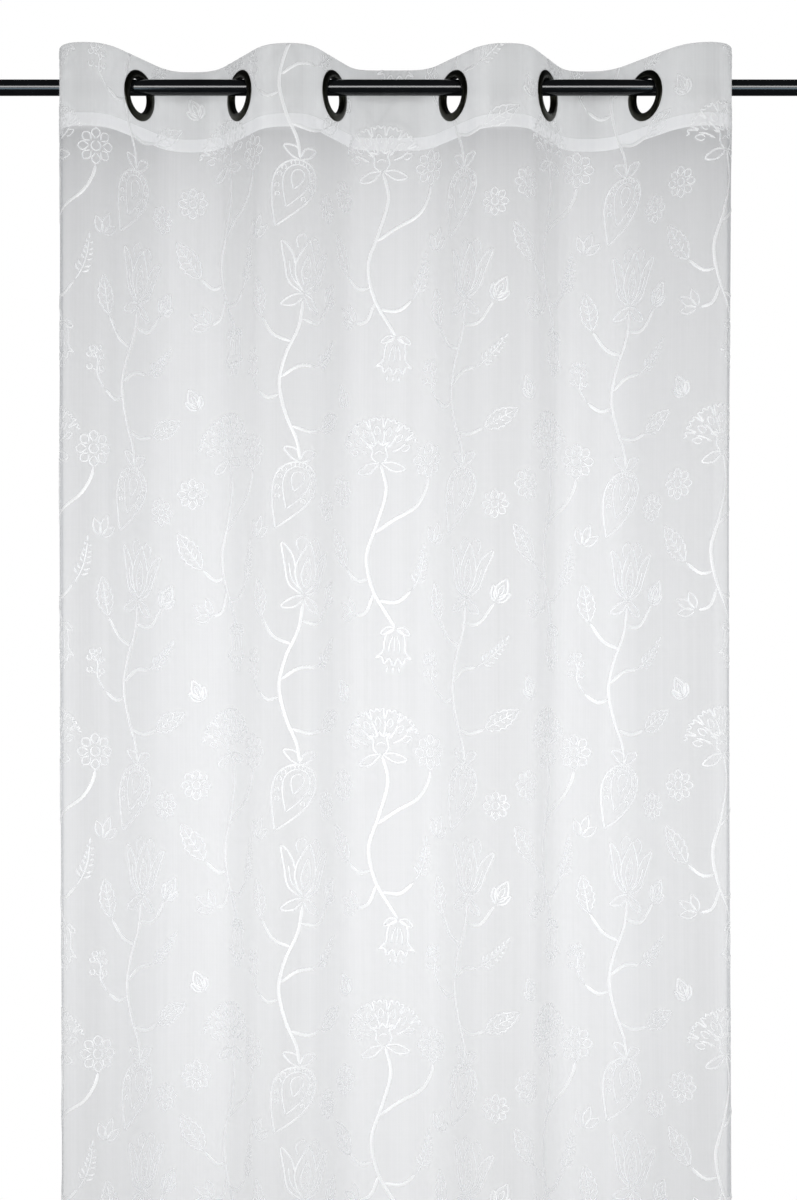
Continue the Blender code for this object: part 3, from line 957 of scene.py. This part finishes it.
def berries():
    """A bent rib with five berries on short stalks and one at its tip."""
    rib = curve([(0, 0), (-3, 17), (2, 31), (0, 42)])
    lines = [(rib, FINE), (ring(3.3, rib[-1][0], rib[-1][1] + 3.3, 9), FINE)]
    for k in range(5):
        x, y = rib[int((0.30 + 0.15 * k) * (len(rib) - 1))]
        side = (-1) ** k
        lines.append((placed([(0, 0), (side * 0.6, 3), (0, 6)], side * 48, x, y), FINE))
        lines.append((ring(3.0, *placed([(0, 9.2)], side * 48, x, y)[0], 9), FINE))
    return lines


def three_leaves():
    """Three small pointed leaves from one point."""
    return [(placed(petal(17 + 4 * (a == 0), 7.5, 0.9, 2), a), FINE) for a in (-38, 0, 38)]


# %% The repeat
# Places are in millimetres across and down the repeat, turns in degrees.
Sprig = namedtuple("Sprig", "motif across down turn size")
SPRIGS = [
    Sprig(*row)
    for row in (
        (carnation, 78, 98, -6, 1.18),
        (daisy, 140, 96, 0, 1.15),
        (toothed_leaf, 30, 228, -34, 1.12),
        (feather, 116, 254, 24, 1.10),
        (bell, 96, 300, 4, 1.05),
        (three_leaves, 44, 286, -60, 1.25),
        (tulip, 212, 274, 8, 1.18),
        (teardrop, 208, 112, 186, 1.12),
        (berries, 152, 24, -18, 1.05),
        (feather, 232, 352, 56, 1.05),
        (toothed_leaf, 245, 70, 62, 1.0),
        (toothed_leaf, 158, 292, -10, 1.0),
        (bud, 258, 276, 28, 1.15),
        (daisy, 20, 136, 0, 1.0),
        (daisy, 258, 160, 0, 0.9),
        (three_leaves, 148, 200, 20, 1.25),
        (bud, 28, 34, -24, 1.05),
    )
]
STEMS = (
    ((78, 98), (85, 132), (74, 172), (61, 212), (68, 252), (86, 284), (96, 300)),
    ((71, 184), (94, 168), (122, 152), (136, 132), (140, 116)),
    ((64, 240), (48, 242), (30, 228)),
    ((74, 266), (98, 268), (116, 254)),
    ((70, 256), (60, 280), (44, 286)),
    ((212, 274), (206, 308), (191, 340), (183, 375), (191, 412), (204, 442), (208, 467)),
    ((184, 387), (168, 390), (152, 379)),
    ((184, 368), (206, 354), (232, 352)),
    ((196, 424), (220, 430), (245, 425)),
    ((199, 326), (176, 316), (158, 292)),
    ((208, 298), (236, 300), (258, 276)),
)
LINE_STEP = {OUTLINE: 2.4, FINE: 2.4, DASH: 3.0, STEM: 5.0}


def even_line(points, width):
    """Evenly spaced points (u, v) and half widths of a line that is pointed at both ends.

    The half width grows from each end as the square root of the way over 1.5 widths.
    """
    run = np.concatenate([[0.0], np.cumsum(np.hypot(*np.diff(points, axis=0).T))])
    count = max(4, int(round(run[-1] / LINE_STEP[width])) + 1)
    at = np.linspace(0.0, run[-1], count)
    even = np.stack([np.interp(at, run, points[:, 0]), np.interp(at, run, points[:, 1])], 1)
    taper = np.minimum(at, run[-1] - at) / min(1.5 * width, run[-1] / 2.5)
    return even * MM, width / 2 * MM * np.sqrt(np.clip(taper, 0.0, 1.0))


repeat_lines = []
for sprig in SPRIGS:
    for points, width in sprig.motif():
        drawn = placed(points, sprig.turn, size=sprig.size) * [1, -1]
        repeat_lines.append(even_line(drawn + [sprig.across, sprig.down], width))
repeat_lines += [even_line(curve(stem), STEM) for stem in STEMS]
print(len(repeat_lines), "lines,", sum(len(half) for _, half in repeat_lines), "steps in a repeat")

# %% [markdown]
# ## Working the embroidery over the cloth
#
# The repeat was embroidered on the flat cloth before it was cut, so it is laid over the whole
# path of the sheet, and it passes over the top edge and down the back of the heading like the
# cloth does. Every line of every repeat becomes one thread line. The work is split into bands
# down the curtain, each a piece of a handy size.

# %% Embroidery
PATTERN_LEFT, PATTERN_TOP = -0.062, -0.330
EDGE_MARGIN, END_MARGIN, EYELET_MARGIN = 2.5 * MM, 2 * MM, 30.4 * MM
FADE, KEPT_OUTSIDE, EMBROIDERY_BANDS = 1.2 * MM, 5 * MM, 4


def repeat_starts(first, end, pitch):
    """Where repeats start from one before first until they pass end."""
    return first + (np.arange(math.ceil((end - first) / pitch) + 1) - 1) * pitch


one_u, one_v = np.concatenate([points for points, _ in repeat_lines]).T
one_half = np.concatenate([half for _, half in repeat_lines])
one_line = np.repeat(np.arange(len(repeat_lines)), [len(half) for _, half in repeat_lines])
shift_u, shift_v = np.meshgrid(
    repeat_starts(PATTERN_LEFT, CLOTH_WIDTH, REPEAT_ACROSS * MM),
    repeat_starts(PATTERN_TOP, path[-1], REPEAT_DOWN * MM),
)
all_u = (one_u + shift_u.reshape(-1, 1)).ravel()
all_v = (one_v + shift_v.reshape(-1, 1)).ravel()
all_half = np.tile(one_half, shift_u.size)
all_line = (one_line + len(repeat_lines) * np.arange(shift_u.size)[:, None]).ravel()

# How far each step is inside the area that is embroidered, edges first and then eyelets.
top_of_work = path[starts[TUCK_TURN]] + END_MARGIN
end_of_work = path[starts[HEM_UP]] - END_MARGIN
room = np.minimum(
    np.minimum(all_u - EDGE_MARGIN, CLOTH_WIDTH - EDGE_MARGIN - all_u),
    np.minimum(all_v - top_of_work, end_of_work - all_v),
)
near = room > -KEPT_OUTSIDE
all_u, all_v, all_half, all_line = (part[near] for part in (all_u, all_v, all_half, all_line))
from_hole = from_eyelet(on_cloth(all_u, all_v, np.zeros_like(all_u)))[0]
room = np.minimum(room[near], from_hole - EYELET_MARGIN)
all_half = all_half * np.clip(room / FADE, 0.0, 1.0)
new_line = np.append(True, np.diff(all_line) != 0)
line_number = np.cumsum(new_line) - 1
line_middle = np.bincount(line_number, all_v) / np.bincount(line_number)
cuts = np.linspace(0, len(all_v) - 1, EMBROIDERY_BANDS + 1).astype(int)[1:-1]
band = np.searchsorted(np.sort(all_v)[cuts], line_middle)[line_number]

embroidery = []
for number in range(EMBROIDERY_BANDS):
    lines = (a[band == number] for a in (all_u, all_v, all_half, new_line))
    embroidery.append(add_thread(f"embroidery_{number + 1}", *lines, satin_thread))

# %% [markdown]
# ## Seams
#
# Four seams hold the curtain together: one across under the eyelets, which catches the tucked
# edge of the heading, one down each side hem, and one across the bottom hem. A machine leaves a
# row of short, equal stitches, so each seam is a row of very short thread lines.

# %% Machine stitches
STITCH_LENGTH, STITCH_EVERY, STITCH_HALF = 2.3 * MM, 3.3 * MM, 0.28 * MM
SEAM_IN, SEAM_END, SEAM_GAP = 2.2 * MM, 2 * MM, 4 * MM


def seam(name, start, end):
    """Stitches from one flat point to another: three steps each, pointed at both ends."""
    start, end = np.array(start), np.array(end)
    run = np.linalg.norm(end - start)
    way = (end - start) / run
    begin = np.arange(0.0, run - STITCH_LENGTH, STITCH_EVERY)
    at = (begin[:, None] + np.array([0.0, 0.5, 1.0]) * STITCH_LENGTH).ravel()
    half = np.tile([0.0, STITCH_HALF, 0.0], len(begin))
    first = np.tile([True, False, False], len(begin))
    u, v = start[0] + way[0] * at, start[1] + way[1] * at
    return add_thread(name, u, v, half, first, seam_thread)


def path_at(height):
    """How far down the front of the cloth a height is."""
    front = (path > 0) & (behind <= 0.0)
    return float(np.interp(-height, -heights[front], path[front]))


top_seam = path_at(HEADING_BOTTOM + SEAM_IN)
bottom_seam = path_at(PANEL_BOTTOM + HEM_DEPTH - SEAM_IN)
left_seam, right_seam = SIDE_HEM_WIDTH - SEAM_IN, CLOTH_WIDTH - SIDE_HEM_WIDTH + SEAM_IN
seams = [
    seam("seam_heading", (SEAM_END, top_seam), (CLOTH_WIDTH - SEAM_END, top_seam)),
    seam("seam_left", (left_seam, top_seam + SEAM_GAP), (left_seam, bottom_seam)),
    seam("seam_right", (right_seam, top_seam + SEAM_GAP), (right_seam, bottom_seam)),
    seam("seam_bottom", (SEAM_END, bottom_seam), (CLOTH_WIDTH - SEAM_END, bottom_seam)),
]

# %% [markdown]
# ## Eyelets
#
# A curtain eyelet is two turned metal pieces: a face whose barrel goes through the cloth, and a
# domed washer behind, which the barrel is rolled over. Each is one closed outline carried round
# its axis, so its rim, dome and barrel are one surface with no seam. They are stood upright on
# the slant of the cloth at each eyelet.

# %% Turned metal
EYELET_FACE = HALF_HEADING + GAP
BARREL = EYELET_HOLE + EYELET_WALL
BARREL_END = EYELET_FACE + EYELET_DOME - GAP
EDGE, CORNER = 0.3 * MM, 0.4 * MM
EYELET_STEPS, DOME_STEPS = 72, 16


def dome(inner, outer, face, rise):
    """From the inner radius to the outer one: a rise of sin(t), highest near the hole.

    The way outwards is ((1 - cos t) / 2) ** 1.4, which leaves a short lip inside and a long
    bevel outside.
    """
    t = np.linspace(0.0, math.pi, DOME_STEPS + 1)
    way = ((1 - np.cos(t)) / 2) ** 1.4
    return np.stack([inner + (outer - inner) * way, face + rise * np.sin(t)], 1)


def turned(outline, steps, closed=True):
    """Points and quads of a (radius, height) outline carried round the Z axis."""
    angle = np.arange(steps) * math.tau / steps
    radius, height = outline[:, :1], outline[:, 1:]
    points = np.stack([radius * np.cos(angle), radius * np.sin(angle), height + 0 * angle], -1)
    faces = grid_faces(len(outline) + closed, steps, wrap=True) % (len(outline) * steps)
    return points.reshape(-1, 3), faces


def stand_at_eyelet(points, index):
    """Stands a turned piece upright at an eyelet, its +Z out of the cloth's face."""
    lean = eyelet_angle(index)
    right = np.array([math.cos(lean), math.sin(lean), 0.0])
    out = np.array([math.sin(lean), -math.cos(lean), 0.0])
    place = np.array([EYELETS[index].x, 0.0, EYELET_Z])
    return points @ np.stack([right, [0.0, 0.0, 1.0], out]) + place


barrel_outline = [
    [BARREL + CORNER, EYELET_FACE],
    [BARREL, EYELET_FACE - CORNER],
    [BARREL, -BARREL_END + EDGE],
    [BARREL - EDGE, -BARREL_END],
    [EYELET_HOLE + EDGE, -BARREL_END],
    [EYELET_HOLE, -BARREL_END + EDGE],
]
face_dome = dome(EYELET_HOLE, EYELET_OUTER, EYELET_FACE, EYELET_DOME)
face_outline = np.concatenate([face_dome, barrel_outline])
washer_outline = dome(BARREL + GAP, EYELET_OUTER, -EYELET_FACE, -EYELET_DOME)[::-1]
print("eyelet outline points:", len(face_outline), "and", len(washer_outline))

# %% [markdown]
# ## Black metals
#
# The eyelets are steel, plated dark and lacquered: nearly black, with a faint olive warmth and
# soft reflections, and a little mottled where hands have rubbed the lacquer. The rod is steel
# tube with a stoved gloss black enamel, so its colour is the enamel's and a clear, narrow line
# of light runs along it.

# %% Metal finishes


def coated_metal(name, dark, light, metallic, roughness, rougher, coat, patch):
    """A coated metal whose colour and roughness drift over patches of a given size."""
    material, tree = new_finish(name)
    place = add_node(tree, "TexCoord").outputs["Object"]
    cloud = add_node(tree, "TexNoise", {"Vector": place, "Scale": 1 / patch, "Detail": 4.0})
    tones = {"Factor": cloud, 6: linear(dark), 7: linear(light)}
    looks = {
        "Base Color": add_node(tree, "Mix", tones, data_type="RGBA").outputs[2],
        "Metallic": metallic,
        "Roughness": add_node(
            tree, "MapRange", {"Value": cloud, "To Min": roughness, "To Max": rougher}
        ),
        "Coat Weight": coat,
        "Coat Roughness": 0.12,
    }
    add_node(tree, "OutputMaterial", {"Surface": add_node(tree, "BsdfPrincipled", looks)})
    return material


# Dark plated steel under clear lacquer: dim, warm reflections.
black_plated = coated_metal(
    "black_plated_steel", "#26261F", "#3A3A31", 1.0, 0.32, 0.44, 0.15, 6 * MM
)
# Stoved enamel: a black skin with a sharp highlight.
black_enamel = coated_metal(
    "gloss_black_enamel", "#060708", "#0B0C0E", 0.0, 0.10, 0.16, 0.0, 30 * MM
)

# %% Place the eyelets
halves = (
    ("face", "front", *turned(face_outline, EYELET_STEPS)),
    ("washer", "back", *turned(washer_outline, EYELET_STEPS)),
)
eyelet_pieces = []
for index in range(len(EYELETS)):
    for half, node_side, points, faces in halves:
        piece = add_piece(
            f"eyelet_{index + 1}_{half}",
            stand_at_eyelet(points, index),
            faces,
            [black_plated],
        )
        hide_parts(f"eyelet_{index + 1}_{node_side}")
        eyelet_pieces.append(piece)

# %% [markdown]
# ## The rod
#
# The rod is a plain round tube, cut square with its edge just broken. It is one outline from
# pole to pole carried round the X axis, with the points close together only where it bends.

# %% Rod
ROD_STEPS, ROD_EDGE_STEPS, ROD_FACE = 96, 5, 4.0 * MM
bend = np.linspace(0.0, math.pi / 2, ROD_EDGE_STEPS)
edge_x = ROD_LENGTH / 2 - ROD_EDGE + ROD_EDGE * np.cos(bend)
edge_r = ROD_RADIUS - ROD_EDGE + ROD_EDGE * np.sin(bend)
half_profile = np.stack([np.append(ROD_FACE, edge_r), np.append(edge_x[0], edge_x)], 1)
profile = np.concatenate([half_profile, half_profile[::-1] * [1.0, -1.0]])
rod_points, rod_quads = turned(profile, ROD_STEPS, closed=False)
rim = np.arange(ROD_STEPS)
next_rim, last_rim = (rim + 1) % ROD_STEPS, (len(profile) - 1) * ROD_STEPS
pole = np.full(ROD_STEPS, len(rod_points))
rod = add_piece(
    "curtain_rod",
    np.concatenate(
        [np.roll(rod_points, 1, axis=1), [[ROD_LENGTH / 2, 0, 0], [-ROD_LENGTH / 2, 0, 0]]]
    ),
    np.concatenate(
        [
            rod_quads[:, [0, 1, 2]],
            rod_quads[:, [0, 2, 3]],
            np.stack([rim, next_rim, pole], 1),
            np.stack([last_rim + next_rim, last_rim + rim, pole + 1], 1),
        ]
    ),
    [black_enamel],
)
rod.data.set_sharp_from_angle(angle=SHARP_METAL)
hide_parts("rod")

# %% [markdown]
# ## The floor
#
# The curtain's hem just clears a plain pale floor. It is far below the photograph's frame, and
# shows only from other sides. A wide disc with a faint cloudiness is all it needs.

# %% Floor


def add_stage(name, points, faces, finish):
    """A thing of the studio: it isn't part of the curtain."""
    mesh = bpy.data.meshes.new(name)
    mesh.from_pydata(points, [], faces)
    mesh.materials.append(finish)
    item = bpy.data.objects.new(name, mesh)
    bpy.context.collection.objects.link(item)
    return item


FLOOR_HEIGHT, FLOOR_RADIUS, FLOOR_STEPS = PANEL_BOTTOM - 0.030, 5.0, 96
# Matt pale paint: an even, nearly white grey.
pale_paint = coated_metal("pale_floor_paint", "#E4E4E2", "#ECECEA", 0.0, 0.55, 0.65, 0.0, 0.4)
floor_rim, _ = turned(np.array([[FLOOR_RADIUS, FLOOR_HEIGHT]]), FLOOR_STEPS)
floor = add_stage("floor", floor_rim, [list(range(FLOOR_STEPS))], pale_paint)
floor.visible_glossy = False
print("floor at", round(FLOOR_HEIGHT, 3))

# %% [markdown]
# ## Shade behind the cloth
#
# Seen through the voile the studio isn't an even white. It is brightest in the middle, greyer
# towards both sides, and greyest right under the heading, which hardly lets light through. It
# is also brighter behind the folds that hang back, close to the light from behind, than
# behind those that come forward. A sheet just behind the folds gives that shade: it is clear,
# only dims what lies behind it, and shows to a view that has come through cloth, so the white
# round the curtain stays white.

# %% How deep the shade is
SHADE_BEHIND = 75.0 * MM
SHADE_HALF_WIDTH, SHADE_TOP, SHADE_BOTTOM = 0.60, 0.10, -2.36
NEAR_SHADE, NEAR_REACH, FAR_SHADE, FAR_REACH = 0.28, 0.045, 0.20, 0.30
SIDE_SHADE, SIDE_REACH = 0.11, 0.40
LOW_SHADE, LOW_START, LOW_REACH = 0.05, -0.95, 0.45
DEEPEST_Z, TOP_FADE, SIDE_FADE = -0.030, 0.020, 0.15
FOLD_SHADE, FOLD_REACH, FOLD_SPREAD = 0.095, 0.052, 1.03

shade_across = np.linspace(-SHADE_HALF_WIDTH, SHADE_HALF_WIDTH, 61)
shade_x, shade_z = np.meshgrid(shade_across, np.linspace(SHADE_TOP, SHADE_BOTTOM, 247))
# Under the heading two shades fade out as exp(-depth / reach); to the sides it grows as the
# square of the distance from the middle, and it grows again far down.
under = np.maximum(DEEPEST_Z - shade_z, 0.0)
shade = NEAR_SHADE * np.exp(-under / NEAR_REACH) + FAR_SHADE * np.exp(-under / FAR_REACH)
shade += SIDE_SHADE * np.clip(np.abs(shade_x) / SIDE_REACH, 0, 1) ** 2
shade += LOW_SHADE * eased((LOW_START - shade_z) / LOW_REACH)
# How far back the fold in front of each point hangs, 0 to 1; the shade is its cube's rest. The
# light fans out, so on the sheet each fold's share lies a little further from the middle.
folds = [
    np.interp(shade_across / FOLD_SPREAD, *wave(min(z, HEADING_BOTTOM))[:2])
    for z in shade_z[:, 0]
]
hung_back = np.clip((np.array(folds) + FOLD_REACH) / (2 * FOLD_REACH), 0.0, 1.0)
shade += FOLD_SHADE * (1.0 - hung_back**3)
# Past the cloth's side edges and above the middle of the heading all shade fades away.
shade *= eased((SHADE_HALF_WIDTH - np.abs(shade_x)) / SIDE_FADE)
shade *= eased((DEEPEST_Z + TOP_FADE - shade_z) / TOP_FADE)
print("deepest shade behind the cloth:", round(float(shade.max()), 2))


# %% Shade sheet
def clear_shade(name):
    """Clear film: it dims by its "dimmed" attribute, for a view that came through cloth."""
    material, tree = new_finish(name)
    depth = add_node(tree, "LightPath").outputs["Transparent Depth"]
    through = add_node(tree, "Math", {0: depth, 1: 0.5}, operation="GREATER_THAN")
    dimmed = add_node(tree, "Attribute", attribute_name="dimmed").outputs["Fac"]
    tone = add_node(tree, "Mix", {"Factor": through, 2: 1.0, 3: dimmed})
    clear = add_node(tree, "BsdfTransparent", {"Color": tone})
    add_node(tree, "OutputMaterial", {"Surface": clear})
    return material


shade_points = np.stack([shade_x, np.full_like(shade_x, SHADE_BEHIND), shade_z], -1)
shade_sheet = add_stage(
    "shade_sheet",
    shade_points.reshape(-1, 3),
    grid_faces(*shade_x.shape),
    clear_shade("shade_behind_cloth"),
)
left_over = shade_sheet.data.attributes.new("dimmed", "FLOAT", "POINT")
left_over.data.foreach_set("value", (1.0 - shade).astype(np.float32).ravel())
for way in ("diffuse", "glossy", "transmission", "volume_scatter", "shadow"):
    setattr(shade_sheet, f"visible_{way}", False)

# %% [markdown]
# ## Flags
#
# Gloss black metal mirrors whatever is in front of it, so in a studio black cards, called
# flags, keep the large boxes out of it, and the boxes that draw the rod's shine are narrowed
# to the rod. Light linking does the same: a collection says which pieces a box lights or
# leaves out. Pieces that are left out still throw that box's shadow on the cloth.

# %% Share out the boxes
SHARES = {
    "rod": ("INCLUDE", [rod]),
    "cloth and eyelets": ("EXCLUDE", [floor, rod]),
    "cloth": ("EXCLUDE", [floor, rod, *eyelet_pieces]),
    "plain cloth": ("EXCLUDE", [floor, rod, *eyelet_pieces, *embroidery]),
    "floor": ("INCLUDE", [floor]),
}
for share, (state, pieces) in SHARES.items():
    group = bpy.data.collections.new(f"light_{share.replace(' ', '_')}")
    for piece in pieces:
        group.objects.link(piece)
    for member in group.collection_objects:
        member.light_linking.link_state = state
    for box, item in zip(SOFT_BOXES, soft_boxes):
        if box.lights == share:
            item.light_linking.receiver_collection = group
    print(f"{sum(box.lights == share for box in SOFT_BOXES)} boxes light the {share}")
